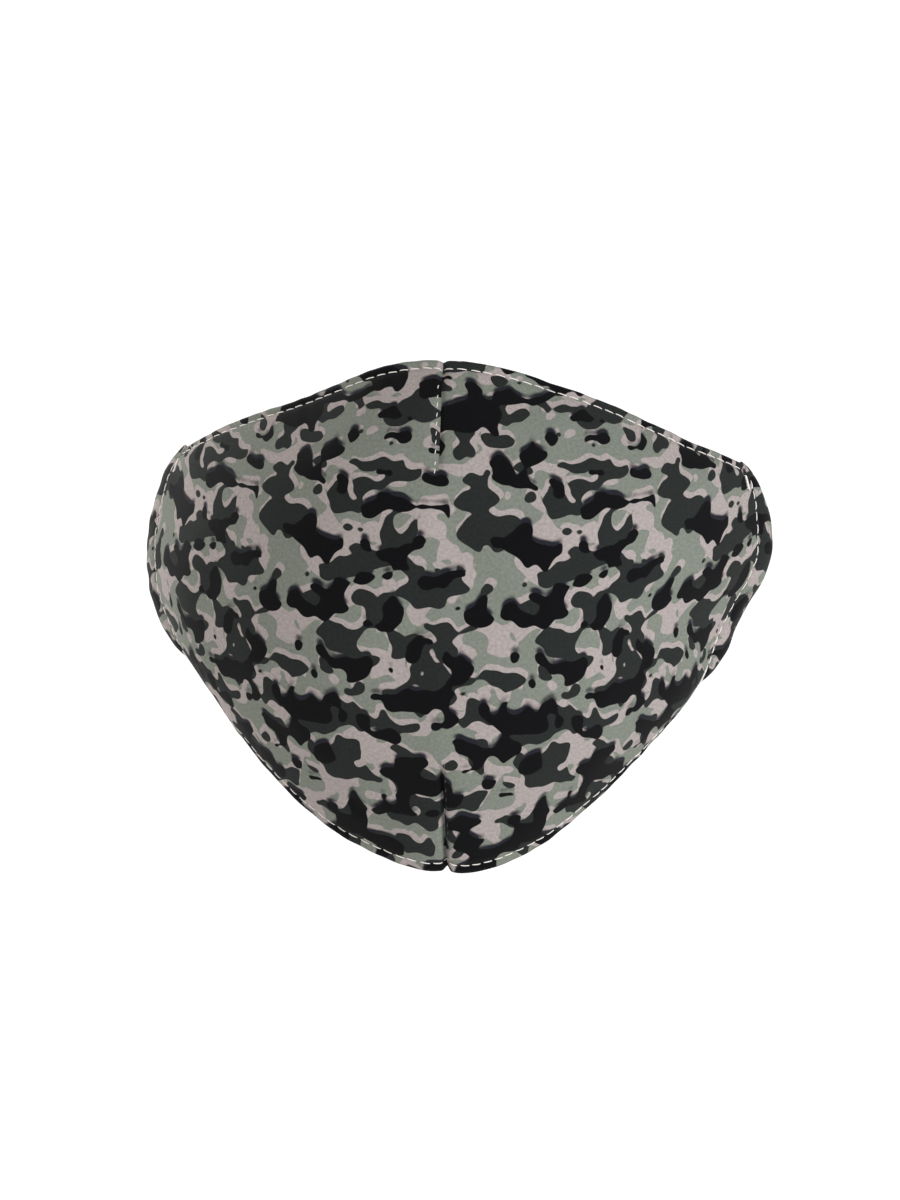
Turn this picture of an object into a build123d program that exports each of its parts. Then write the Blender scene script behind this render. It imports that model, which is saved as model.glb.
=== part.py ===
from build123d import *
import math
import os

# A contoured three-layer cloth face mask as worn. +Z is up, -Y is the way the wearer looks and +X is the
# wearer's left. The origin is on the centre plane, in the plane of the side casings' rear edges.

# Driving dimensions, millimetres
SIDE_RADIUS = 53.0  # the rear edge of each casing is an arc, seen from the front
SIDE_CENTRE_X = 39.5
SIDE_CENTRE_Z = 5.6
SIDE_LOW_ANGLE = -50.0  # where the arc starts and ends, from level
SIDE_HIGH_ANGLE = 36.0
TOP_Z = 61.0  # the top edge at the bridge of the nose
CHIN_Z = -88.0  # the lower edge under the chin
NOSE_DEPTH = 78.0  # how far the ridge stands ahead of the face opening
BRIDGE_DEPTH = 56.0
CHIN_DEPTH = 42.0
RIDGE_FULLEST = 0.58  # share of the height at which the ridge stands furthest forward
WRAP_ANGLE = 66.0  # how far round the cheek each half turns
DART_RIDGE = 4.0  # how far the darts pinch the ridge forward at the two edges
RIDGE_SOFTNESS = 0.05

OUTER_THICKNESS = 0.6
INTERLINING_THICKNESS = 0.8
LINING_THICKNESS = 0.5
LAYER_GAP = 0.1
CENTRE_HALF = 26.0  # half the width of the band that bends when the mask folds
FOLD_GAP = 0.3  # between that band and the half that swings

CASING_WIDTH = 12.0
CASING_THICKNESS = 3.4
CASING_WALL = 0.7
CASING_INSET = 3.0  # how far the casing's seam lies inside its rear edge, seen from the front
CASING_SPREAD = 14.0  # how far a casing leans outwards from straight back, degrees

WIRE_LENGTH = 84.0
WIRE_WIDTH = 4.0
WIRE_THICKNESS = 0.6
SLEEVE_LENGTH = 96.0
SLEEVE_WIDTH = 9.0
SLEEVE_THICKNESS = 0.4
WIRE_BELOW_EDGE = 7.0

LINING_SETBACK = 2.5  # the lining stops this far short of the mask's edges
THREAD_WIDTH = 0.6
THREAD_THICKNESS = 0.35
THREAD_CLEARANCE = 0.05
HEM_STITCH = 3.0  # each hem's stitching lies this far from the edge
HEM_STITCH_END = 0.985  # the turn at which it stops, short of the casings
SEAM_STITCH = 1.6  # the casing's stitching lies this far from the side seam
DART_LENGTH = 32.0
DART_STITCH_OFFSET = 1.6
TACK_WIDTH = 1.4
TACK_HEIGHT = 5.0
TACK_THICKNESS = 0.6
TACK_INSET = 4.0  # from the side seam
TACK_FROM_EDGE = 5.0  # below the top edge, and above the lower one

# The side seam is an arc concentric with the casing's rear edge.
SEAM_RADIUS = SIDE_RADIUS - CASING_INSET
SEAM_LOW_Z = SIDE_CENTRE_Z + SEAM_RADIUS * math.sin(math.radians(SIDE_LOW_ANGLE))
SEAM_HIGH_Z = SIDE_CENTRE_Z + SEAM_RADIUS * math.sin(math.radians(SIDE_HIGH_ANGLE))
SEAM_DEPTH = CASING_WIDTH * math.cos(math.radians(CASING_SPREAD))
WRAP = math.radians(WRAP_ANGLE)
TOP_EDGE_SOFTNESS = 0.45
CHIN_EDGE_POWER = 2.0

LEFT, RIGHT = 1, -1


def side_half_width(height_share):
    """Half the mask's width at the side seam, for a share of the seam's height."""
    z = SEAM_LOW_Z + (SEAM_HIGH_Z - SEAM_LOW_Z) * height_share
    return SIDE_CENTRE_X + math.sqrt(SEAM_RADIUS**2 - (z - SIDE_CENTRE_Z) ** 2)


def ridge_depth(height_share):
    """How far the centre ridge stands ahead of the face opening."""
    if height_share < RIDGE_FULLEST:
        away = (RIDGE_FULLEST - height_share) / RIDGE_FULLEST
        return NOSE_DEPTH - (NOSE_DEPTH - CHIN_DEPTH) * away**2
    away = (height_share - RIDGE_FULLEST) / (1 - RIDGE_FULLEST)
    return NOSE_DEPTH - (NOSE_DEPTH - BRIDGE_DEPTH) * away**2


def top_edge(across):
    """Height of the top edge. across is 0 at the ridge and 1 at the side seam."""
    soft = TOP_EDGE_SOFTNESS
    fall = (math.hypot(across, soft) - soft) / (math.hypot(1, soft) - soft)
    return TOP_Z - (TOP_Z - SEAM_HIGH_Z) * fall


def chin_edge(across):
    """Height of the lower edge."""
    return CHIN_Z + (SEAM_LOW_Z - CHIN_Z) * abs(across) ** CHIN_EDGE_POWER


def cloth_surface(turn, height_share):
    """A point of the mask's outer face. turn goes from -1 to 1 round the face, height_share from 0 to 1."""
    across = math.sin(turn * WRAP) / math.sin(WRAP)
    x = side_half_width(height_share) * across
    z = chin_edge(across) + (top_edge(across) - chin_edge(across)) * height_share
    round_face = (math.cos(turn * WRAP) - math.cos(WRAP)) / (1 - math.cos(WRAP))
    pinch = DART_RIDGE * (2 * height_share - 1) ** 2
    from_ridge = math.hypot(across, RIDGE_SOFTNESS) - RIDGE_SOFTNESS
    peak = max(0.0, 1 - from_ridge) ** 3
    depth = ridge_depth(height_share) - SEAM_DEPTH - pinch
    return Vector(x, -SEAM_DEPTH - depth * round_face - pinch * peak, z)


def cloth_point(turn, height_share, inward):
    """A point at a depth inward from the mask's outer face, measured square to it."""
    step = 0.002
    around = cloth_surface(turn + step, height_share) - cloth_surface(turn - step, height_share)
    up = cloth_surface(turn, height_share + step) - cloth_surface(turn, height_share - step)
    return cloth_surface(turn, height_share) + up.cross(around).normalized() * inward


def turn_at(x, height_share=0.5):
    """The turn at which the outer face has this x."""
    return math.asin(x / side_half_width(height_share) * math.sin(WRAP)) / WRAP


def turn_from_seam(distance):
    """The turn a given distance in from the side seam, along the cloth at mid-height."""
    step = 0.001
    seam = cloth_surface(1.0, 0.5)
    return 1 - distance * step / (seam - cloth_surface(1.0 - step, 0.5)).length


def below_top(distance):
    """The share of the height a given distance below the top edge, as a function of the turn."""

    def share(turn):
        across = math.sin(turn * WRAP) / math.sin(WRAP)
        return 1 - distance / (top_edge(across) - chin_edge(across))

    return share


def above_chin(distance):
    """The share of the height a given distance above the lower edge."""

    def share(turn):
        across = math.sin(turn * WRAP) / math.sin(WRAP)
        return distance / (top_edge(across) - chin_edge(across))

    return share


def cloth_solid(turns, low, high, inward, columns=22, rows=18):
    """A closed solid between two turns, two heights (each a function of the turn) and two depths."""
    skins = []
    for depth in inward:
        grid = []
        for row in range(rows + 1):
            line = []
            for column in range(columns + 1):
                turn = turns[0] + (turns[1] - turns[0]) * column / columns
                share = low(turn) + (high(turn) - low(turn)) * row / rows
                line.append(cloth_point(turn, share, depth))
            grid.append(line)
        skins.append(Face.make_surface_from_array_of_points(grid))
    outer, inner = skins
    sides = []
    for edge in outer.edges():
        facing = min(inner.edges(), key=lambda other: (other @ 0.5 - edge @ 0.5).length)
        sides.append(Face.make_surface_from_curves(edge, facing))
    return Solid(Shell([outer, inner, *sides]))


def save(name, shape):
    """Write one node: a single solid, or a list of separate ones."""
    shape = Compound(children=shape) if isinstance(shape, list) else shape
    shape.label = name
    export_step(shape, f"parts/{name}.step")


def panel_spans(end):
    """The turns that each panel covers, out to a given turn at each side."""
    edge = turn_at(CENTRE_HALF)
    far_edge = turn_at(CENTRE_HALF + FOLD_GAP)
    return {"right": (-end, -edge), "centre": (-edge, edge), "left": (far_edge, end)}


def make_layer(name, depth, thickness, setback):
    """One cloth layer, as a left panel, a right panel and the centre band that bends between them."""
    for side, turns in panel_spans(1.0).items():
        panel = cloth_solid(turns, above_chin(setback), below_top(setback), (depth, depth + thickness))
        save(f"{name}_{side}", panel)


def casing_path(side):
    """The middle line of a casing, from its lower end to its upper end, and the arc's centre."""
    middle = SIDE_RADIUS - CASING_INSET / 2
    centre = Vector(side * SIDE_CENTRE_X, -SEAM_DEPTH / 2, SIDE_CENTRE_Z)
    points = []
    for angle in (SIDE_LOW_ANGLE, (SIDE_LOW_ANGLE + SIDE_HIGH_ANGLE) / 2, SIDE_HIGH_ANGLE):
        turn = math.radians(angle)
        points.append(centre + Vector(side * middle * math.cos(turn), 0, middle * math.sin(turn)))
    return ThreePointArc(*points), centre


def make_casing(side, name):
    """A flat sleeve of cloth along the side arc, open at both ends for the ear elastic."""
    path, centre = casing_path(side)
    outwards = (path @ 0 - centre).normalized()
    lean = math.radians(CASING_SPREAD)
    flat = Vector(0, 1, 0) * math.cos(lean) + outwards * math.sin(lean)
    profile = Plane(origin=path @ 0, x_dir=flat, z_dir=path % 0)
    sleeve = sweep(profile * SlotOverall(CASING_WIDTH, CASING_THICKNESS), path)
    bore = SlotOverall(CASING_WIDTH - 2 * CASING_WALL, CASING_THICKNESS - 2 * CASING_WALL)
    save(name, sleeve - sweep(profile * bore, path))


def make_wire_and_sleeve(lining_back):
    """The nose wire under the top edge, and the cloth sleeve that holds it against the lining."""
    wire_depth = lining_back + LAYER_GAP
    half_turn = turn_at(WIRE_LENGTH / 2)
    wire_low = below_top(WIRE_BELOW_EDGE + WIRE_WIDTH)
    wire = (wire_depth, wire_depth + WIRE_THICKNESS)
    save("nose_wire", cloth_solid((-half_turn, half_turn), wire_low, below_top(WIRE_BELOW_EDGE), wire, 24, 2))
    sleeve_depth = wire_depth + WIRE_THICKNESS + LAYER_GAP
    spare = (SLEEVE_WIDTH - WIRE_WIDTH) / 2
    half_turn = turn_at(SLEEVE_LENGTH / 2)
    sleeve_low = below_top(WIRE_BELOW_EDGE + WIRE_WIDTH + spare)
    sleeve = (sleeve_depth, sleeve_depth + SLEEVE_THICKNESS)
    sleeve_top = below_top(WIRE_BELOW_EDGE - spare)
    save("wire_sleeve", cloth_solid((-half_turn, half_turn), sleeve_low, sleeve_top, sleeve, 24, 3))


def make_hem_threads():
    """The topstitching along the top and lower edges, lying just proud of the outer cloth."""
    proud = (-THREAD_CLEARANCE - THREAD_THICKNESS, -THREAD_CLEARANCE)
    for side, turns in panel_spans(HEM_STITCH_END).items():
        top = cloth_solid(turns, below_top(HEM_STITCH + THREAD_WIDTH), below_top(HEM_STITCH), proud, 20, 2)
        save(f"top_hem_thread_{side}", top)
        chin = cloth_solid(turns, above_chin(HEM_STITCH), above_chin(HEM_STITCH + THREAD_WIDTH), proud, 20, 2)
        save(f"chin_hem_thread_{side}", chin)


def make_seam_threads():
    """The stitching that closes each casing, down the mask's side seams."""
    proud = (-THREAD_CLEARANCE - THREAD_THICKNESS, -THREAD_CLEARANCE)
    low, high = above_chin(2 * HEM_STITCH), below_top(2 * HEM_STITCH)
    for side, name in ((LEFT, "left"), (RIGHT, "right")):
        edges = (turn_from_seam(SEAM_STITCH), turn_from_seam(SEAM_STITCH + THREAD_WIDTH))
        turns = sorted(side * edge for edge in edges)
        save(f"side_seam_thread_{name}", cloth_solid(turns, low, high, proud, 2, 20))


def make_dart_threads():
    """The stitching beside the nose dart and beside the chin dart."""
    proud = (-THREAD_CLEARANCE - THREAD_THICKNESS, -THREAD_CLEARANCE)
    near, far = turn_at(DART_STITCH_OFFSET), turn_at(DART_STITCH_OFFSET + THREAD_WIDTH)
    nose_low, nose_high = below_top(DART_LENGTH), below_top(2 * HEM_STITCH)
    save("nose_dart_thread", cloth_solid((-far, -near), nose_low, nose_high, proud, 2, 14))
    chin_low, chin_high = above_chin(2 * HEM_STITCH), above_chin(DART_LENGTH)
    save("chin_dart_thread", cloth_solid((near, far), chin_low, chin_high, proud, 2, 14))


def make_bar_tacks():
    """A short dense block of stitches at each end of both side seams."""
    proud = (-THREAD_CLEARANCE - TACK_THICKNESS, -THREAD_CLEARANCE)
    ends = (
        (below_top(TACK_FROM_EDGE + TACK_HEIGHT), below_top(TACK_FROM_EDGE)),
        (above_chin(TACK_FROM_EDGE), above_chin(TACK_FROM_EDGE + TACK_HEIGHT)),
    )
    near, far = turn_from_seam(TACK_INSET), turn_from_seam(TACK_INSET + TACK_WIDTH)
    for side, name in ((LEFT, "left"), (RIGHT, "right")):
        turns = sorted((side * near, side * far))
        save(f"bar_tacks_{name}", [cloth_solid(turns, low, high, proud, 2, 3) for low, high in ends])


os.makedirs("parts", exist_ok=True)

interlining_depth = OUTER_THICKNESS + LAYER_GAP
lining_depth = interlining_depth + INTERLINING_THICKNESS + LAYER_GAP
make_layer("outer_cloth", 0.0, OUTER_THICKNESS, 0.0)
make_layer("interlining", interlining_depth, INTERLINING_THICKNESS, LINING_SETBACK)
make_layer("lining", lining_depth, LINING_THICKNESS, LINING_SETBACK)
make_wire_and_sleeve(lining_depth + LINING_THICKNESS)
make_casing(LEFT, "side_casing_left")
make_casing(RIGHT, "side_casing_right")
make_hem_threads()
make_seam_threads()
make_dart_threads()
make_bar_tacks()
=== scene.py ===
import math
import bpy
import numpy as np
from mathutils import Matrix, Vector


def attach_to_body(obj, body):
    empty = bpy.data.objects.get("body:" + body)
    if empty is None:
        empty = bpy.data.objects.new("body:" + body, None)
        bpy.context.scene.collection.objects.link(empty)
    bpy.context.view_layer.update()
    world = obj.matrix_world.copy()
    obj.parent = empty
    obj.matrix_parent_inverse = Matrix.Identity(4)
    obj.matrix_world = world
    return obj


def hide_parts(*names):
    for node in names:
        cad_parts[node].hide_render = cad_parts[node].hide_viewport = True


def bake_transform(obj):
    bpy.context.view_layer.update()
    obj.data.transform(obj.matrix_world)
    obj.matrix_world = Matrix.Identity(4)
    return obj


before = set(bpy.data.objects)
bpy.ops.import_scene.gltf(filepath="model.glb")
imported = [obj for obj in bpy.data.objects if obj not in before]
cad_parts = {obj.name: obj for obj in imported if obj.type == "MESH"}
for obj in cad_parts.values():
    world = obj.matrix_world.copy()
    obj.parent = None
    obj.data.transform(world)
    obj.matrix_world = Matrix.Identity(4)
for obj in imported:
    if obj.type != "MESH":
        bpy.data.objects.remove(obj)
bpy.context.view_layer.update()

# Metres in the CAD frame: +Z up as worn, -Y the way the wearer looks, +X the wearer's left
MM = 0.001

# The mask's shape, as the CAD states it
SIDE_RADIUS, SIDE_CENTRE_X, SIDE_CENTRE_Z = 53.0 * MM, 39.5 * MM, 5.6 * MM
SIDE_LOW_ANGLE, SIDE_HIGH_ANGLE = -50.0, 36.0
TOP_Z, CHIN_Z = 61.0 * MM, -88.0 * MM
NOSE_DEPTH, BRIDGE_DEPTH, CHIN_DEPTH = 78.0 * MM, 56.0 * MM, 42.0 * MM
RIDGE_FULLEST = 0.58
WRAP = math.radians(66.0)
DART_RIDGE = 4.0 * MM
RIDGE_SOFTNESS = 0.05
TOP_EDGE_SOFTNESS = 0.45
CHIN_EDGE_POWER = 2.0
CASING_WIDTH, CASING_INSET = 12.0 * MM, 3.0 * MM
CASING_SPREAD = math.radians(14.0)
SEAM_RADIUS = SIDE_RADIUS - CASING_INSET
SEAM_LOW_Z = SIDE_CENTRE_Z + SEAM_RADIUS * math.sin(math.radians(SIDE_LOW_ANGLE))
SEAM_HIGH_Z = SIDE_CENTRE_Z + SEAM_RADIUS * math.sin(math.radians(SIDE_HIGH_ANGLE))
SEAM_DEPTH = CASING_WIDTH * math.cos(CASING_SPREAD)

# The cloth's make-up. FROM and TO are depths inward from the outer face.
CLOTH = 0.5 * MM
INTERLINING_FROM, INTERLINING_TO = 0.7 * MM, 1.5 * MM
LINING_FROM, LINING_TO = 1.6 * MM, 2.1 * MM
WIRE_FROM, WIRE_TO = 2.9 * MM, 3.5 * MM
SLEEVE_FROM, SLEEVE_TO = 3.6 * MM, 4.0 * MM
# The nose wire and its sleeve: half length, distance from the top edge and width
WIRE_HALF, WIRE_EDGE, WIRE_WIDTH = 42.0 * MM, 9.0 * MM, 4.0 * MM
SLEEVE_HALF, SLEEVE_EDGE, SLEEVE_WIDTH = 48.0 * MM, 6.5 * MM, 9.0 * MM
BAND_SHARE = 0.9  # share of the height at which the wire and its sleeve are measured
LAYER_SETBACK = 3.0 * MM  # how far the inner layers stop short of the edge
LINING_SLACK = 2.6 * MM
TURN_LENGTH = 130.0 * MM  # about how much cloth goes round the face for each unit of turn
HEM_BACK = 2.75 * MM  # depth of the turned hem's outer face
HEM_TURN = 8.0 * MM  # how far the hem is turned in
HEM_STITCH = 3.0 * MM
NOSE_DART, CHIN_DART = 34.0 * MM, 33.0 * MM  # length of each dart, from its edge
NOSE_DART_DIP, CHIN_DART_DIP = 1.0 * MM, 2.3 * MM
DART_CUT = 6.0 * MM  # half the cloth that each dart takes up at the edge
PRINT_REPEAT = 63.0 * MM

# How unevenly the sewn mask hangs. Left and right are the wearer's.
DROP = 0.034  # fall towards the left, as a slope
LEAN, LEAN_HALF_WIDTH = 0.07, 90.0 * MM  # slope of the lean, top to the left, at this half width
TUCK_IN, TUCK_Z, TUCK_REACH = 6.0 * MM, -13.0 * MM, 14.0 * MM  # the lower left side, drawn in
CORNER_OUT, CORNER_Z, CORNER_REACH = 2.6 * MM, 32.0 * MM, 9.0 * MM  # the upper corners, pushed out
SLUMP, SLUMP_X, SLUMP_REACH = 1.4 * MM, -36.0 * MM, 26.0 * MM  # the upper right edge, sunk


# --- Shape of the cloth ------------------------------------------------------------------------

def side_half_width(share):
    z = SEAM_LOW_Z + (SEAM_HIGH_Z - SEAM_LOW_Z) * share
    return SIDE_CENTRE_X + np.sqrt(SEAM_RADIUS**2 - (z - SIDE_CENTRE_Z) ** 2)


def ridge_depth(share):
    below = NOSE_DEPTH - (NOSE_DEPTH - CHIN_DEPTH) * ((RIDGE_FULLEST - share) / RIDGE_FULLEST) ** 2
    above = NOSE_DEPTH - (NOSE_DEPTH - BRIDGE_DEPTH) * ((share - RIDGE_FULLEST) / (1 - RIDGE_FULLEST)) ** 2
    return np.where(share < RIDGE_FULLEST, below, above)


def top_edge(across):
    soft = TOP_EDGE_SOFTNESS
    fall = (np.hypot(across, soft) - soft) / (math.hypot(1, soft) - soft)
    return TOP_Z - (TOP_Z - SEAM_HIGH_Z) * fall


def chin_edge(across):
    return CHIN_Z + (SEAM_LOW_Z - CHIN_Z) * np.abs(across) ** CHIN_EDGE_POWER


def across_at(turn):
    return np.sin(turn * WRAP) / math.sin(WRAP)


def surface(turn, share):
    """Points of the outer face. turn runs from -1 to 1 round the face and share from 0, chin, to 1, top."""
    turn, share = np.broadcast_arrays(np.asarray(turn, float), np.asarray(share, float))
    across = across_at(turn)
    x = side_half_width(share) * across
    z = chin_edge(across) + (top_edge(across) - chin_edge(across)) * share
    round_face = (np.cos(turn * WRAP) - math.cos(WRAP)) / (1 - math.cos(WRAP))
    pinch = DART_RIDGE * (2 * share - 1) ** 2
    peak = np.clip(1 - np.hypot(across, RIDGE_SOFTNESS) + RIDGE_SOFTNESS, 0, None) ** 3
    y = -SEAM_DEPTH - (ridge_depth(share) - SEAM_DEPTH - pinch) * round_face - pinch * peak
    return np.stack([x, y, z], axis=-1)


def unit(vectors):
    return vectors / np.linalg.norm(vectors, axis=-1, keepdims=True)


def frame_at(turn, share):
    """The outward normal and the upward direction along the cloth."""
    step = 0.002
    around = surface(turn + step, share) - surface(turn - step, share)
    up = surface(turn, share + step) - surface(turn, share - step)
    return unit(np.cross(around, up)), unit(up)


def height_at(turn):
    across = across_at(turn)
    return top_edge(across) - chin_edge(across)


def below_top(turn, distance):
    return 1 - distance / height_at(turn)


def above_chin(turn, distance):
    return distance / height_at(turn)


def flat_place(turn, share, steps=48):
    """Where a point lies on the flat, uncut cloth: metres along from the centre and up from mid-height."""
    turn, share = np.broadcast_arrays(np.asarray(turn, float), np.asarray(share, float))
    along = np.zeros(turn.shape)
    up = np.zeros(turn.shape)
    for i in range(steps):
        a, b = i / steps, (i + 1) / steps
        along += np.linalg.norm(surface(turn * b, share) - surface(turn * a, share), axis=-1)
        low, high = 0.5 + (share - 0.5) * a, 0.5 + (share - 0.5) * b
        up += np.linalg.norm(surface(turn, high) - surface(turn, low), axis=-1)
    return along * np.sign(turn), up * np.sign(share - 0.5)


# --- Soft shape of worn cloth ------------------------------------------------------------------

def lengths_along(path):
    """The distance from the path's start to each of its points."""
    return np.concatenate([[0], np.cumsum(np.linalg.norm(np.diff(path, axis=0), axis=1))])


def waves(x, y, length, seed, count=7):
    """Smooth random relief from -1 to 1 with about this wavelength."""
    draw = np.random.default_rng(seed)
    x, y = np.broadcast_arrays(x, y)
    total = np.zeros(x.shape)
    for _ in range(count):
        angle = draw.uniform(0, math.tau)
        size = length * draw.uniform(0.7, 1.5)
        phase = draw.uniform(0, math.tau)
        total += np.sin(math.tau * (x * math.cos(angle) + y * math.sin(angle)) / size + phase)
    return total / math.sqrt(count) * 0.7


def bump(distance, width):
    return np.exp(-((distance / width) ** 2))


# Soft folds: place along and up the flat cloth, heading in degrees, half length, half width and height,
# in millimetres
FOLDS = [
    (8, 20, -62, 24, 5, -1.3),
    (-9, 16, -118, 22, 6, 0.9),
    (20, 8, -35, 26, 7, 0.6),
    (0, -16, -92, 26, 5, 1.0),
    (-24, -62, -38, 16, 3, -0.7),
    (22, -60, 40, 16, 4, -0.5),
    (-62, 22, 12, 22, 6, -0.7),
    (60, 16, 160, 24, 6, -0.7),
    (48, -30, 50, 22, 6, 0.6),
    (-46, -34, -48, 22, 6, 0.6),
]


def hem_relief(along, up, distance, seed):
    """The stitches' groove, the roll outside it and the puckers, at this distance from a hemmed edge."""
    groove = -0.40 * MM * bump(distance - HEM_STITCH, 0.8 * MM)
    roll = 0.15 * MM * bump(distance - 1.2 * MM, 1.0 * MM)
    pucker = waves(along, up * 0.2, 7 * MM, seed)
    return groove + roll + 0.16 * MM * pucker * np.exp(-distance / (7 * MM))


def dart_relief(along, up, distance, reach, dip, seed):
    """The crease of a dart, the softer dip round it and its tug lines, at this distance from its edge."""
    sewn = np.clip((reach - distance) / (5 * MM), 0, 1)
    crease = -dip * bump(along, 0.9 * MM) - 0.45 * dip * bump(along, 3.2 * MM)
    tug = waves(along * 0.3, up, 9 * MM, seed)
    return sewn * (crease + 0.2 * MM * tug * bump(along, 8 * MM))


def fold_relief(along, up):
    """The soft folds, added together."""
    out = np.zeros(along.shape)
    for x, z, heading, length, width, height in FOLDS:
        cos, sin = math.cos(math.radians(heading)), math.sin(math.radians(heading))
        aside, above = along - x * MM, up - z * MM
        lengthwise = aside * cos + above * sin
        crosswise = above * cos - aside * sin
        out += height * MM * bump(lengthwise, length * MM) * bump(crosswise, width * MM)
    return out


def relief(turn, share):
    """How far the sewn cloth stands out from its smooth shape, along the outward normal."""
    along, up = flat_place(turn, share)
    from_top = (1 - share) * height_at(turn)
    from_chin = share * height_at(turn)
    from_side = (1 - np.abs(turn)) * TURN_LENGTH
    gather = waves(along * 0.25, up, 8 * MM, 17)
    out = 0.7 * MM * waves(along, up, 70 * MM, 3)
    out += 0.22 * MM * waves(along, up, 24 * MM, 5)
    out += 0.22 * MM * gather * np.exp(-from_side / (9 * MM))
    out += hem_relief(along, up, from_top, 11)
    out += hem_relief(along, up, from_chin, 12)
    out += dart_relief(along, up, from_top, NOSE_DART, NOSE_DART_DIP, 21)
    out += dart_relief(along, up, from_chin, CHIN_DART, CHIN_DART_DIP, 22)
    return out + fold_relief(along, up)


def cloth_points(turn, share, inward):
    """Points at a depth inward from the outer face, with the cloth's relief."""
    out, _ = frame_at(turn, share)
    lift = relief(turn, share) - inward
    return surface(turn, share) + out * lift[..., None]


def climb(value, start, length):
    """0 up to the start, rising to 1 over the length after it."""
    return min(max((value - start) / length, 0.0), 1.0)


def hang_unevenly(piece):
    """Let a piece hang askew: tucked in on the left, its upper corners out and its upper edge slumped."""
    for vertex in piece.data.vertices:
        x, z = vertex.co.x, vertex.co.z
        outwards = climb(x, 35 * MM, 45 * MM)
        tuck = TUCK_IN * outwards**2 * (3 - 2 * outwards) * bump(z - TUCK_Z, TUCK_REACH)
        near_side = climb(abs(x), 50 * MM, 28 * MM) ** 2
        corner = CORNER_OUT * near_side * bump(z - CORNER_Z, CORNER_REACH)
        slump = SLUMP * bump(x - SLUMP_X, SLUMP_REACH) * climb(z, 0.0, 50 * MM) ** 2
        vertex.co.x = x + LEAN * z * abs(x) / LEAN_HALF_WIDTH - tuck + math.copysign(corner, x)
        vertex.co.z = z - DROP * x - slump


# --- Mesh building -----------------------------------------------------------------------------

def add_flat_places(mesh, quads, flat, cut):
    """The UV map "cloth", which says where each corner lies on the flat cloth.

    flat is two arrays, along and up. cut says which faces lie on the -X side of the darts, and how far the
    print is moved away from the darts on both sides."""
    along, up = (values.reshape(-1)[quads] for values in flat)
    if cut is not None:
        before, gap = cut
        gap = gap.reshape(-1)[quads]
        along = along + np.where(before.reshape(-1, 1), -gap, gap)
    places = np.stack([along, up], axis=-1).reshape(-1)
    layer = mesh.uv_layers.new(name="cloth")
    layer.data.foreach_set("uv", places.astype(np.float32))


def grid_mesh(name, points, flat=None, cut=None):
    """A piece from a grid of points, with flat coordinates if they are given."""
    rows, columns = points.shape[:2]
    mesh = bpy.data.meshes.new(name)
    index = np.arange(rows * columns).reshape(rows, columns)
    corners = [index[:-1, :-1], index[:-1, 1:], index[1:, 1:], index[1:, :-1]]
    quads = np.stack(corners, axis=-1).reshape(-1, 4)
    mesh.from_pydata(points.reshape(-1, 3).tolist(), [], quads.tolist())
    if flat is not None:
        add_flat_places(mesh, quads, flat, cut)
    mesh.polygons.foreach_set("use_smooth", [True] * len(mesh.polygons))
    mesh.update()
    piece = bpy.data.objects.new(name, mesh)
    bpy.context.scene.collection.objects.link(piece)
    return piece


def thicken(piece, thickness):
    """Give a one-layer cloth its thickness, inwards from the side that it shows."""
    modifier = piece.modifiers.new("thickness", "SOLIDIFY")
    modifier.thickness = thickness
    modifier.offset = -1
    depsgraph = bpy.context.evaluated_depsgraph_get()
    mesh = bpy.data.meshes.new_from_object(piece.evaluated_get(depsgraph))
    old = piece.data
    piece.modifiers.clear()
    piece.data = mesh
    bpy.data.meshes.remove(old)
    mesh.name = piece.name
    return piece


# --- Cloth pieces ------------------------------------------------------------------------------

COLUMNS, FRONT_ROWS, FOLD_ROWS, TURN_ROWS = 240, 150, 6, 7
LAYER_COLUMNS, LAYER_ROWS = 120, 90
BAND_COLUMNS, BAND_ROWS = 110, 9


def turns_across(columns, end=1.0):
    """Turns from side to side, closest together at the ridge."""
    step = np.linspace(-1, 1, columns + 1)
    return end * np.sign(step) * np.abs(step) ** 1.3


def shares_up(rows):
    """Shares of the height from 0 to 1, closest together at the two edges."""
    step = np.linspace(0, 1, rows + 1)
    return 0.65 * (0.5 - 0.5 * np.cos(math.pi * step)) + 0.35 * step


def dart_gap(turn, share):
    """Half the flat cloth lost in the darts at this height."""
    from_top = (1 - share) * height_at(turn)
    from_chin = share * height_at(turn)
    open_top = np.clip(1 - from_top / NOSE_DART, 0, 1)
    open_chin = np.clip(1 - from_chin / CHIN_DART, 0, 1)
    return DART_CUT * (open_top + open_chin)


def outer_rows(turn, low, high, radius):
    """The outer cloth's rows, from the turned-in chin hem to the turned-in top hem.

    Each row is its share, its depth, its reach beyond the hem's fold and its flat distance beyond it."""
    rows = []
    arc = np.linspace(0, math.pi, FOLD_ROWS + 1)
    back = np.linspace(HEM_TURN, 0, TURN_ROWS + 1)
    for distance in back[:-1]:
        rows.append((low + distance / height_at(turn), HEM_BACK, 0.0, -(math.pi * radius + distance)))
    for angle in arc[::-1][:-1]:
        rows.append((low, radius * (1 - math.cos(angle)), -radius * math.sin(angle), -radius * angle))
    for share in shares_up(FRONT_ROWS):
        rows.append((low + (high - low) * share, 0.0, 0.0, 0.0))
    for angle in arc[1:]:
        rows.append((high, radius * (1 - math.cos(angle)), radius * math.sin(angle), radius * angle))
    for distance in back[::-1][1:]:
        rows.append((high - distance / height_at(turn), HEM_BACK, 0.0, math.pi * radius + distance))
    return rows


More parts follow.
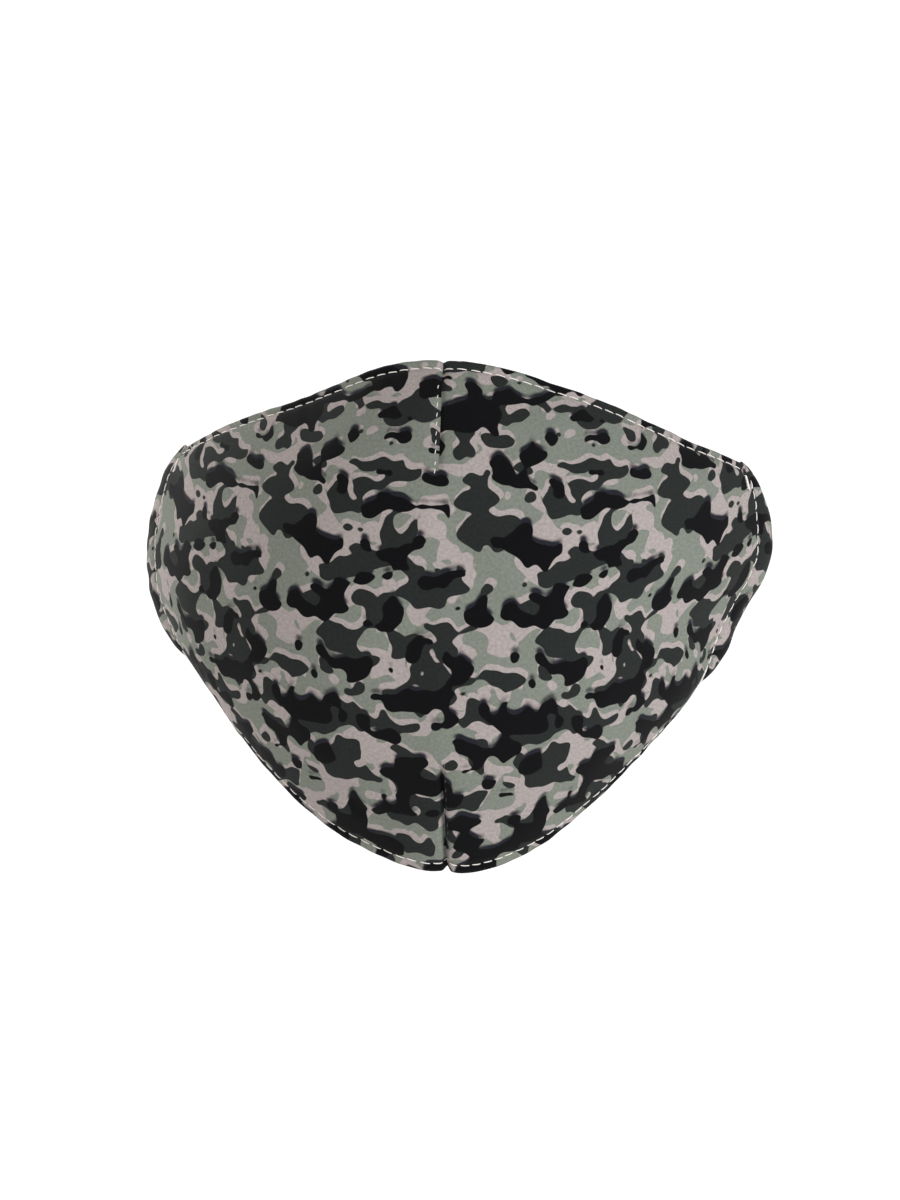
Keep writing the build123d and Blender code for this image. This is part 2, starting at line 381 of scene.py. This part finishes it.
def make_outer_cloth():
    """One camouflage piece: turned in along the chin and the top, and pinched by its two darts."""
    turn = turns_across(COLUMNS)
    radius = HEM_BACK / 2
    low, high = above_chin(turn, radius), below_top(turn, radius)
    shares, *others = zip(*outer_rows(turn, low, high, radius))
    share = np.stack(shares)
    depth, reach, beyond = (np.array(column)[:, None] for column in others)
    turn = np.broadcast_to(turn, share.shape)
    out, up = frame_at(turn, share)
    points = surface(turn, share) + out * (relief(turn, share) - depth)[..., None] + up * reach[..., None]
    along, flat_up = flat_place(turn, share)
    edge = np.where(beyond < 0, low, high)
    flat_up = np.where(beyond == 0, flat_up, flat_place(turn, edge)[1] + beyond)
    before = np.broadcast_to(np.arange(COLUMNS) < COLUMNS // 2, (len(share) - 1, COLUMNS))
    piece = grid_mesh("outer_cloth", points, (along, flat_up), (before, dart_gap(turn, share)))
    return thicken(piece, CLOTH)


def make_layer(name, low_depth, high_depth, slack=0.0):
    """An inner cloth layer, following the outer cloth, with soft wrinkles where it has slack."""
    turn = turns_across(LAYER_COLUMNS)
    low, high = above_chin(turn, LAYER_SETBACK), below_top(turn, LAYER_SETBACK)
    share = low + (high - low) * shares_up(LAYER_ROWS)[:, None]
    turn = np.broadcast_to(turn, share.shape)
    along, up = flat_place(turn, share)
    from_hem = np.minimum(share, 1 - share) * height_at(turn)
    from_edge = np.minimum(from_hem, (1 - np.abs(turn)) * TURN_LENGTH)
    loose = np.clip((from_edge - 10 * MM) / (14 * MM), 0, 1) * (1 - bump(along, 12 * MM))
    sag = slack * loose * (0.5 + 0.5 * waves(along, up, 34 * MM, 61))
    piece = grid_mesh(name, cloth_points(turn, share, low_depth + sag), (along, up))
    return thicken(piece, high_depth - low_depth)


def make_band(name, half_length, from_edge, width, low_depth, high_depth):
    """A strip along the inside of the top edge."""
    end = math.asin(half_length / side_half_width(BAND_SHARE) * math.sin(WRAP)) / WRAP
    turn = turns_across(BAND_COLUMNS, end)
    distance = from_edge + width * (1 - np.linspace(0, 1, BAND_ROWS))[:, None]
    share = below_top(turn, distance)
    turn = np.broadcast_to(turn, share.shape)
    piece = grid_mesh(name, cloth_points(turn, share, low_depth), flat_place(turn, share))
    return thicken(piece, high_depth - low_depth)


# Across a casing, in millimetres: distance back from its middle and out from its mid-plane. It runs from
# the front edge, under the outer cloth, round the rear fold, to the front edge inside.
CASING_OUTLINE = [
    (-8.2, -0.85), (-6.7, -0.6), (-5.7, -0.05), (-4.4, 0.6), (-2.2, 1.25), (0.8, 1.6), (3.8, 1.35),
    (5.6, 0.8), (6.2, 0.0), (5.6, -0.8), (3.4, -1.5), (0.0, -1.9), (-3.4, -2.3), (-6.6, -2.75),
]
CASING_UNDERLAP = 2.6 * MM  # how much of the outline lies under the outer cloth
CASING_END_FLAT = 0.45  # how much thinner the ends are
CASING_END_SLOPE = 0.12  # how much shorter the rear fold is than the seam
CASING_END_PULL = 3.0 * MM  # how far its ends are drawn in


def smooth_through(points, per_span=5):
    """A smooth curve through the points, Catmull-Rom."""
    points = np.array(points, float)
    padded = np.vstack([2 * points[0] - points[1], points, 2 * points[-1] - points[-2]])
    t = np.linspace(0, 1, per_span, endpoint=False)[:, None]
    spans = []
    for a, b, c, d in zip(padded, padded[1:], padded[2:], padded[3:]):
        spans.append(0.5 * (2 * b + (c - a) * t + (2 * a - 5 * b + 4 * c - d) * t**2
                            + (3 * b - a - 3 * c + d) * t**3))
    return np.vstack([*spans, points[-1:]])


def casing_points(outline, around, line, side):
    """The outline carried along the side seam's arc, shorter at the rear fold and flatter at both ends."""
    behind = np.clip(outline[:, 0] / (6 * MM) + 1, 0, None)  # 0 at the seam and 2 at the rear fold
    middle = line.mean()
    angle = middle + (line[:, None] - middle) * (1 - CASING_END_SLOPE * behind)
    outwards = np.stack([side * np.cos(angle), 0 * angle, np.sin(angle)], axis=-1)
    backwards = np.array([0, 1, 0])
    back = backwards * math.cos(CASING_SPREAD) + outwards * math.sin(CASING_SPREAD)
    out = outwards * math.cos(CASING_SPREAD) - backwards * math.sin(CASING_SPREAD)
    arc = line[:, None] * SIDE_RADIUS
    from_end = np.minimum(arc - arc[0], arc[-1] - arc)
    ripple = 0.28 * MM * waves(around * 0.4, arc, 9 * MM, 31 + side)
    ripple = ripple * bump(outline[:, 0] - 1.0 * MM, 5.0 * MM)
    flatter = 1 - CASING_END_FLAT * bump(from_end, 4.5 * MM)
    lift = (outline[:, 1] + ripple * np.sign(outline[:, 1])) * flatter
    drawn_in = CASING_END_PULL * bump(from_end, 10 * MM) * behind / 2
    reach = SIDE_RADIUS - CASING_INSET / 2 - drawn_in
    centre = np.array([side * SIDE_CENTRE_X, -SEAM_DEPTH / 2, SIDE_CENTRE_Z])
    return centre + outwards * reach[..., None] + back * outline[:, :1] + out * lift[..., None]


def make_casing(name, side):
    """The folded strip that makes a tunnel for ear elastic, open at both ends."""
    outline = smooth_through(CASING_OUTLINE) * MM
    around = lengths_along(outline)
    line = np.radians(np.linspace(SIDE_LOW_ANGLE, SIDE_HIGH_ANGLE, 81))
    points = casing_points(outline, around, line, side)
    share = (SIDE_CENTRE_Z + SEAM_RADIUS * np.sin(line) - SEAM_LOW_Z) / (SEAM_HIGH_Z - SEAM_LOW_Z)
    along, up = flat_place(np.full(share.shape, float(side)), share)
    flat_along = along[:, None] + side * (around - CASING_UNDERLAP)
    flat_up = np.broadcast_to(up[:, None], flat_along.shape)
    if side < 0:
        points, flat_along, flat_up = points[:, ::-1], flat_along[:, ::-1], flat_up[:, ::-1]
    piece = grid_mesh(name, points, (flat_along, flat_up))
    return thicken(piece, CLOTH)


# --- Stitches ----------------------------------------------------------------------------------

HEM_THREAD, DART_THREAD, TACK_THREAD = 0.17 * MM, 0.13 * MM, 0.19 * MM  # radius
HEM_PITCH, SIDE_PITCH, HEM_GAP = 3.6 * MM, 3.4 * MM, 0.25 * MM
DART_PITCH, DART_GAP = 3.0 * MM, 1.5 * MM
SLEEVE_PITCH, SLEEVE_GAP, SLEEVE_INSET = 2.8 * MM, 0.9 * MM, 0.9 * MM
DART_START = 4.5 * MM  # how far inside the edge a dart's stitches begin
NOSE_OFFSET, CHIN_OFFSET = -1.3 * MM, 1.3 * MM  # how far beside its dart each row of stitches lies
LINING_NOSE_OFFSET, LINING_NOSE_START = 1.6 * MM, 16.5 * MM
LINING_CHIN_OFFSET, LINING_CHIN_START = -1.6 * MM, 9.0 * MM
TACK_STITCHES, TACK_START, TACK_PITCH = 10, 5.0 * MM, 0.4 * MM
RING, JOINTS = 6, 7  # points round a thread and places along a stitch


class Seam:
    """Separate stitches gathered into one mesh."""

    def __init__(self):
        self.points, self.faces = [], []

    def stitch(self, path, normals, radius):
        """One stitch along a short path: sunk at its ends, proud in the middle."""
        tangent = unit(np.gradient(path, axis=0))
        sideways = unit(np.cross(tangent, normals))
        t = np.linspace(0, 1, len(path))
        swell = np.sin(math.pi * t) ** 0.3
        middle = path + normals * (radius * (2.1 * swell - 1.3))[:, None]
        thick = radius * (0.35 + 0.65 * swell)
        first = len(self.points)
        for centre, normal, across, size in zip(middle, normals, sideways, thick):
            for k in range(RING):
                turn = math.tau * k / RING
                self.points.append(centre + size * (math.cos(turn) * normal + math.sin(turn) * across))
        for ring in range(len(path) - 1):
            for k in range(RING):
                a, b = first + ring * RING + k, first + ring * RING + (k + 1) % RING
                self.faces.append((a, a + RING, b + RING, b))
        last = first + (len(path) - 1) * RING
        self.faces.append(tuple(first + k for k in range(RING)))
        self.faces.append(tuple(last + k for k in reversed(range(RING))))

    def piece(self, name):
        mesh = bpy.data.meshes.new(name)
        mesh.from_pydata([tuple(p) for p in self.points], [], self.faces)
        mesh.polygons.foreach_set("use_smooth", [True] * len(mesh.polygons))
        mesh.update()
        made = bpy.data.objects.new(name, mesh)
        bpy.context.scene.collection.objects.link(made)
        return made


def lockstitch(seam, turn, share, pitch, gap, seed, radius=HEM_THREAD, inward=0.0):
    """Stitches along a line on the cloth, given as turns and shares, or on a face inside it."""
    path = cloth_points(turn, share, inward)
    normals, _ = frame_at(turn, share)
    if inward > 0:
        normals = -normals
    distance = lengths_along(path)
    draw = np.random.default_rng(seed)
    count = int(distance[-1] / pitch)
    for i in range(count):
        start = i * pitch + draw.uniform(-0.08, 0.08) * pitch
        end = start + pitch - gap * draw.uniform(0.8, 1.2)
        at = np.clip(np.linspace(start, end, JOINTS), 0, distance[-1])
        points = np.stack([np.interp(at, distance, path[:, k]) for k in range(3)], axis=-1)
        facing = unit(np.stack([np.interp(at, distance, normals[:, k]) for k in range(3)], axis=-1))
        slant = np.cross(unit(np.gradient(points, axis=0)), facing) * 0.12 * MM
        points = points + slant * np.linspace(-1, 1, JOINTS)[:, None]
        seam.stitch(points, facing, radius)


def make_hem_stitches(name, place, seed):
    """Topstitching a fixed distance inside the top or the chin edge, from casing to casing."""
    turn = np.linspace(-0.985, 0.985, 1400)
    seam = Seam()
    for inward in (0.0, HEM_BACK):
        lockstitch(seam, turn, place(turn, HEM_STITCH), HEM_PITCH, HEM_GAP, seed, inward=inward)
    return seam.piece(name)


def make_side_stitches(name, side, seed):
    """The stitching that closes a casing."""
    share = np.linspace(0.05, 0.955, 500)
    seam = Seam()
    lockstitch(seam, np.full(share.shape, side * 0.990), share, SIDE_PITCH, HEM_GAP, seed)
    return seam.piece(name)


def make_dart_stitches(name, place, reach, offset, seed, inward=0.0, start=DART_START):
    """The row of stitches beside a dart, on the outer cloth or on the lining."""
    share = place(0.0, np.linspace(reach, start, 400))
    turn = np.full(share.shape, offset / TURN_LENGTH)
    seam = Seam()
    lockstitch(seam, turn, share, DART_PITCH, DART_GAP, seed, DART_THREAD, inward)
    return seam.piece(name)


def make_sleeve_stitches(name, seed):
    """The two rows of stitches along the edges of the wire's sleeve."""
    end = SLEEVE_HALF / side_half_width(BAND_SHARE)
    along = np.linspace(-end, end, 600) * 0.98
    turn = np.arcsin(along * math.sin(WRAP)) / WRAP
    seam = Seam()
    for distance in (SLEEVE_EDGE + SLEEVE_INSET, SLEEVE_EDGE + SLEEVE_WIDTH - SLEEVE_INSET):
        share = below_top(turn, distance)
        lockstitch(seam, turn, share, SLEEVE_PITCH, SLEEVE_GAP, seed, DART_THREAD, SLEEVE_TO)
    return seam.piece(name)


def make_bar_tacks(name, side):
    """A dense block of short stitches at each end of a side seam."""
    seam = Seam()
    for place in (below_top, above_chin):
        for i in range(TACK_STITCHES):
            distance = TACK_START + TACK_PITCH * i
            turn = side * np.linspace(0.957, 0.969, JOINTS)
            share = place(turn, distance + np.linspace(0, 0.35 * MM, JOINTS))
            seam.stitch(cloth_points(turn, share, -0.1 * MM), frame_at(turn, share)[0], TACK_THREAD)
    return seam.piece(name)


# --- Materials ---------------------------------------------------------------------------------

def srgb(code):
    """A colour written as six hex digits, as linear RGBA."""
    values = [int(code[i:i + 2], 16) / 255 for i in (0, 2, 4)]
    return (*[v / 12.92 if v <= 0.04045 else ((v + 0.055) / 1.055) ** 2.4 for v in values], 1.0)


class Shader:
    """A material's node tree, with short calls for the nodes used here."""

    def __init__(self, name, roughness, sheen=0.0, specular=0.3):
        self.material = bpy.data.materials.new(name)
        self.material.use_nodes = True
        self.nodes = self.material.node_tree.nodes
        self.links = self.material.node_tree.links
        self.surface = self.nodes["Principled BSDF"]
        self.surface.inputs["Roughness"].default_value = roughness
        self.surface.inputs["Sheen Weight"].default_value = sheen
        self.surface.inputs["Sheen Roughness"].default_value = 0.5
        self.surface.inputs["Specular IOR Level"].default_value = specular

    def feed(self, socket, value):
        if isinstance(value, bpy.types.NodeSocket):
            self.links.new(value, socket)
        else:
            socket.default_value = value

    def math(self, operation, a, b=0.0, c=0.0):
        node = self.nodes.new("ShaderNodeMath")
        node.operation = operation
        for socket, value in zip(node.inputs, (a, b, c)):
            self.feed(socket, value)
        return node.outputs[0]

    def vector_math(self, operation, a, b):
        node = self.nodes.new("ShaderNodeVectorMath")
        node.operation = operation
        self.feed(node.inputs[0], a)
        self.feed(node.inputs[1], b)
        return node.outputs[0]

    def noise(self, vector, size, detail=0.0, roughness=0.5, colour=False):
        """Noise whose features are about this size, in the vector's own units."""
        node = self.nodes.new("ShaderNodeTexNoise")
        self.feed(node.inputs["Vector"], vector)
        node.inputs["Scale"].default_value = 1 / size
        node.inputs["Detail"].default_value = detail
        node.inputs["Roughness"].default_value = roughness
        return node.outputs["Color" if colour else "Fac"]

    def ramp(self, value, low, high, smooth=True):
        """0 below low, 1 above high."""
        node = self.nodes.new("ShaderNodeMapRange")
        node.interpolation_type = "SMOOTHSTEP" if smooth else "LINEAR"
        self.feed(node.inputs["Value"], value)
        node.inputs["From Min"].default_value = low
        node.inputs["From Max"].default_value = high
        return node.outputs["Result"]

    def mix(self, share, a, b, blend="MIX"):
        node = self.nodes.new("ShaderNodeMix")
        node.data_type = "RGBA"
        node.blend_type = blend
        self.feed(node.inputs["Factor"], share)
        self.feed(node.inputs[6], a)
        self.feed(node.inputs[7], b)
        return node.outputs[2]

    def combine(self, x, y, z):
        node = self.nodes.new("ShaderNodeCombineXYZ")
        for socket, value in zip(node.inputs, (x, y, z)):
            self.feed(socket, value)
        return node.outputs[0]

    def cloth_place(self):
        """Millimetres along and up the flat cloth."""
        node = self.nodes.new("ShaderNodeUVMap")
        node.uv_map = "cloth"
        split = self.nodes.new("ShaderNodeSeparateXYZ")
        self.links.new(node.outputs["UV"], split.inputs[0])
        return self.math("MULTIPLY", split.outputs[0], 1000), self.math("MULTIPLY", split.outputs[1], 1000)

    def bump(self, height, distance, strength=1.0):
        node = self.nodes.new("ShaderNodeBump")
        node.inputs["Strength"].default_value = strength
        node.inputs["Distance"].default_value = distance
        self.feed(node.inputs["Height"], height)
        self.links.new(node.outputs["Normal"], self.surface.inputs["Normal"])

    def colour(self, value):
        self.feed(self.surface.inputs["Base Color"], value)


SAGE, BEIGE, DARK, BLACK = srgb("676b63"), srgb("8a8280"), srgb("1e2120"), srgb("08080a")
HAZE = srgb("1b1b22")  # the faint shade beside the black
BEIGE_LEVEL, DARK_LEVEL, BLACK_LEVEL = 0.855, 0.869, 0.895  # each ink prints where its blobs reach this
DARK_SHIFT, BLACK_SHIFT = 124.0, 15.0  # where in the noise the dark and the black blobs are taken
KNIT = 0.62  # pitch of the printed cloth's knit, in millimetres


def blobs(s, place, shift, raised=0.0, aside=0.0):
    """A field whose level lines are wide blobs edged with round lobes."""
    place = s.vector_math("ADD", place, (shift + aside, shift * 0.7, -shift - raised))
    move = s.vector_math("SUBTRACT", s.noise(place, 8.0, colour=True), (0.5, 0.5, 0.5))
    bent = s.vector_math("ADD", place, s.vector_math("MULTIPLY", move, (5.0, 5.0, 3.0)))
    wide = s.vector_math("MULTIPLY", bent, (1.0, 1.0, 2.0))
    return s.math("MULTIPLY_ADD", s.noise(place, 5.2), 0.6, s.noise(wide, 13.2))


def print_over(s, colour, field, level, ink, soft=0.006):
    """The colour with this ink printed where the field is above the level."""
    return s.mix(s.ramp(field, level - soft, level + soft), colour, ink)


def camo_print(s, along, up):
    """Sage, beige, dark green and black, repeating along the cloth."""
    radius = PRINT_REPEAT / MM / math.tau
    angle = s.math("DIVIDE", along, radius)
    ring = s.combine(s.math("MULTIPLY", s.math("COSINE", angle), radius),
                     s.math("MULTIPLY", s.math("SINE", angle), radius), up)
    colour = print_over(s, SAGE, blobs(s, ring, 46.0), BEIGE_LEVEL, BEIGE)
    outline = blobs(s, ring, DARK_SHIFT, raised=1.5, aside=0.8)
    colour = print_over(s, colour, outline, BEIGE_LEVEL, BEIGE)
    haze = s.ramp(blobs(s, ring, BLACK_SHIFT, raised=1.8), 0.872, 0.975)
    colour = s.mix(haze, colour, HAZE)
    colour = print_over(s, colour, blobs(s, ring, DARK_SHIFT), DARK_LEVEL, DARK)
    return print_over(s, colour, blobs(s, ring, BLACK_SHIFT), BLACK_LEVEL, BLACK)


def knit_field(s, along, up, pitch):
    """A field that rises and falls with the knit's ribs and courses."""
    rib = s.math("SINE", s.math("MULTIPLY", along, math.tau / pitch))
    course = s.math("SINE", s.math("MULTIPLY", up, math.tau / pitch))
    return s.math("MULTIPLY", rib, course)


def camo_cloth():
    """The camouflage print on a fine brushed knit."""
    s = Shader("camo_cloth", roughness=0.92, sheen=0.03, specular=0.06)
    along, up = s.cloth_place()
    flat = s.combine(along, up, 0.0)
    grain = s.math("ADD", s.noise(flat, 0.4, 2.0), s.noise(flat, 0.9, 1.0))
    grain = s.math("MULTIPLY_ADD", knit_field(s, along, up, KNIT), 0.12, grain)
    shade = s.ramp(grain, 0.72, 1.28, smooth=False)
    tint = s.mix(shade, (0.84, 0.84, 0.84, 1), (1.16, 1.16, 1.16, 1))
    s.colour(s.mix(1.0, camo_print(s, along, up), tint, "MULTIPLY"))
    s.bump(grain, 0.06 * MM, 0.7)
    return s.material


def plain_cloth(name, code, weave, contrast=1.25, depth=0.05):
    """An unprinted cloth with a fine knit, flecked and a little uneven in tone."""
    s = Shader(name, roughness=0.9, sheen=0.2, specular=0.25)
    along, up = s.cloth_place()
    flat = s.combine(along, up, 0.0)
    knit = s.math("MULTIPLY_ADD", knit_field(s, along, up, weave), 0.35, s.noise(flat, 0.9, 2.0))
    base = srgb(code)
    light = tuple(min(1.0, v * contrast + 0.004) for v in base[:3]) + (1.0,)
    fleck = s.ramp(s.math("MULTIPLY_ADD", s.noise(flat, 7.0, 2.0), 0.5, knit), 0.35, 1.15)
    s.colour(s.mix(fleck, base, light))
    s.bump(knit, depth * MM, 0.8)
    return s.material


def thread(name, code):
    """Twisted polyester thread."""
    s = Shader(name, 0.55, 0.3, 0.4)
    place = s.nodes.new("ShaderNodeTexCoord").outputs["Object"]
    fibre = s.noise(place, 0.25 * MM, 1.0)
    base = srgb(code)
    s.colour(s.mix(s.ramp(fibre, 0.3, 0.7), tuple(0.8 * v for v in base[:3]) + (1.0,), base))
    s.bump(fibre, 0.03 * MM, 0.6)
    return s.material


def wire_metal():
    """Dull flat aluminium wire."""
    s = Shader("nose_wire", 0.38)
    s.surface.inputs["Metallic"].default_value = 1.0
    s.colour(srgb("c4c4c6"))
    return s.material


def dress(piece, material):
    piece.data.materials.clear()
    piece.data.materials.append(material)


# --- Build -------------------------------------------------------------------------------------

THIRDS = ("right", "centre", "left")


def fold(piece, material_slot, *nodes):
    """A piece that spans the fold, in place of these CAD nodes, hung unevenly and fixed where it lies."""
    hang_unevenly(piece)
    if nodes:
        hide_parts(*nodes)
    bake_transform(piece)
    return piece


def attach(piece, node, body):
    """A piece that rides with one half, in place of this CAD node."""
    hang_unevenly(piece)
    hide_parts(node)
    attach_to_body(piece, body)
    return piece


outer = fold(make_outer_cloth(), "camo_cloth", *[f"outer_cloth_{part}" for part in THIRDS])
interlining = fold(make_layer("inner_cloth", INTERLINING_FROM, INTERLINING_TO),
                   "interlining", *[f"interlining_{part}" for part in THIRDS])
lining = fold(make_layer("lining_cloth", LINING_FROM, LINING_TO, LINING_SLACK),
              "lining", *[f"lining_{part}" for part in THIRDS])
wire = fold(make_band("wire", WIRE_HALF, WIRE_EDGE, WIRE_WIDTH, WIRE_FROM, WIRE_TO),
            "nose_wire", "nose_wire")
sleeve = fold(make_band("sleeve", SLEEVE_HALF, SLEEVE_EDGE, SLEEVE_WIDTH, SLEEVE_FROM, SLEEVE_TO),
              "wire_sleeve", "wire_sleeve")
top_thread = fold(make_hem_stitches("top_hem_stitches", below_top, 41), "hem_thread",
                  *[f"top_hem_thread_{part}" for part in THIRDS])
chin_thread = fold(make_hem_stitches("chin_hem_stitches", above_chin, 42), "hem_thread",
                   *[f"chin_hem_thread_{part}" for part in THIRDS])
nose_thread = fold(make_dart_stitches("nose_dart_stitches", below_top, NOSE_DART, NOSE_OFFSET, 43),
                   "hem_thread", "nose_dart_thread")
dart_thread = fold(make_dart_stitches("chin_dart_stitches", above_chin, CHIN_DART, CHIN_OFFSET, 44),
                   "dark_thread", "chin_dart_thread")
sleeve_thread = fold(make_sleeve_stitches("sleeve_stitches", 46), "dark_thread")
lining_nose = make_dart_stitches("lining_nose_stitches", below_top, NOSE_DART, LINING_NOSE_OFFSET, 47,
                                 LINING_TO, LINING_NOSE_START)
lining_chin = make_dart_stitches("lining_chin_stitches", above_chin, CHIN_DART, LINING_CHIN_OFFSET, 48,
                                 LINING_TO, LINING_CHIN_START)
lining_threads = [fold(piece, "dark_thread") for piece in (lining_nose, lining_chin)]

casings, side_threads = [], []
for side, part in ((1, "left"), (-1, "right")):
    half = f"{part}_half"
    casing = make_casing(f"casing_{part}", side)
    stitches = make_side_stitches(f"side_stitches_{part}", side, 45)
    tacks = make_bar_tacks(f"tacks_{part}", side)
    casings.append(attach(casing, f"side_casing_{part}", half))
    side_threads.append(attach(stitches, f"side_seam_thread_{part}", half))
    side_threads.append(attach(tacks, f"bar_tacks_{part}", half))

CAMO = camo_cloth()
PALE_THREAD, BLACK_THREAD = thread("pale_thread", "d9d3cd"), thread("black_thread", "2c2c2e")
for piece in (outer, *casings):
    dress(piece, CAMO)
for piece in (top_thread, chin_thread, nose_thread, *side_threads):
    dress(piece, PALE_THREAD)
for piece in (dart_thread, sleeve_thread, *lining_threads):
    dress(piece, BLACK_THREAD)
dress(lining, plain_cloth("lining", "1c1d1f", 1.1, contrast=3.2, depth=0.12))
dress(interlining, plain_cloth("interlining", "cfceca", 1.6))
dress(sleeve, plain_cloth("wire_sleeve", "1f2023", 0.8, contrast=2.2, depth=0.10))
dress(wire, wire_metal())


# --- Camera and studio -------------------------------------------------------------------------

TARGET = Vector((0.000, -0.030, -0.0085))
CAMERA_AZIMUTH, CAMERA_DISTANCE, CAMERA_LENS = math.radians(4.3), 1.30, 134.0
FLOOR_Z = -0.21
BACKDROP_GLOW = 0.74


def aim(thing, place, target):
    thing.location = place
    thing.rotation_mode = "QUATERNION"
    thing.rotation_quaternion = (target - Vector(place)).to_track_quat("-Z", "Y")
    bpy.context.scene.collection.objects.link(thing)


def make_camera():
    camera_data = bpy.data.cameras.new("camera")
    camera_data.lens = CAMERA_LENS
    camera = bpy.data.objects.new("camera", camera_data)
    away = Vector((math.sin(CAMERA_AZIMUTH), -math.cos(CAMERA_AZIMUTH), 0))
    aim(camera, TARGET + away * CAMERA_DISTANCE, TARGET)
    bpy.context.scene.camera = camera


def make_light(name, place, size, power, colour):
    data = bpy.data.lights.new(name, "AREA")
    data.size = size
    data.energy = power
    data.color = colour
    light = bpy.data.objects.new(name, data)
    aim(light, place, Vector((0, -0.03, 0)))


def make_backdrop():
    """A pale round floor that sweeps up into a wall all round, beyond the camera."""
    flat, bend, top, sides = 1.8, 0.7, 2.8, 96
    turn = np.linspace(0, math.pi / 2, 21)
    profile = [(0.0, FLOOR_Z), *zip(flat + bend * np.sin(turn), FLOOR_Z + bend - bend * np.cos(turn)),
               (flat + bend, top)]
    around = np.linspace(0, math.tau, sides + 1)
    points = np.array([[(r * math.cos(a), r * math.sin(a), z) for a in around] for r, z in profile])
    backdrop = grid_mesh("backdrop", points)
    s = Shader("backdrop", roughness=1.0, specular=0.0)
    s.colour((0.35, 0.35, 0.35, 1.0))
    s.surface.inputs["Emission Color"].default_value = (1, 1, 1, 1)
    s.surface.inputs["Emission Strength"].default_value = BACKDROP_GLOW
    dress(backdrop, s.material)


make_camera()
make_backdrop()
make_light("key", (1.25, -1.05, 0.15), 0.6, 21, (0.98, 0.99, 1))
make_light("rear", (-1.3, 0.9, 0.9), 0.5, 30, (1, 0.98, 0.95))
make_light("warm_side", (-1.3, -0.7, -0.05), 0.6, 2.5, (1, 0.86, 0.62))
world = bpy.data.worlds.new("world")
bpy.context.scene.world = world
world.use_nodes = True
world.node_tree.nodes["Background"].inputs["Color"].default_value = (1, 1, 1, 1)
world.node_tree.nodes["Background"].inputs["Strength"].default_value = 0.2
bpy.context.scene.view_settings.view_transform = "Standard"
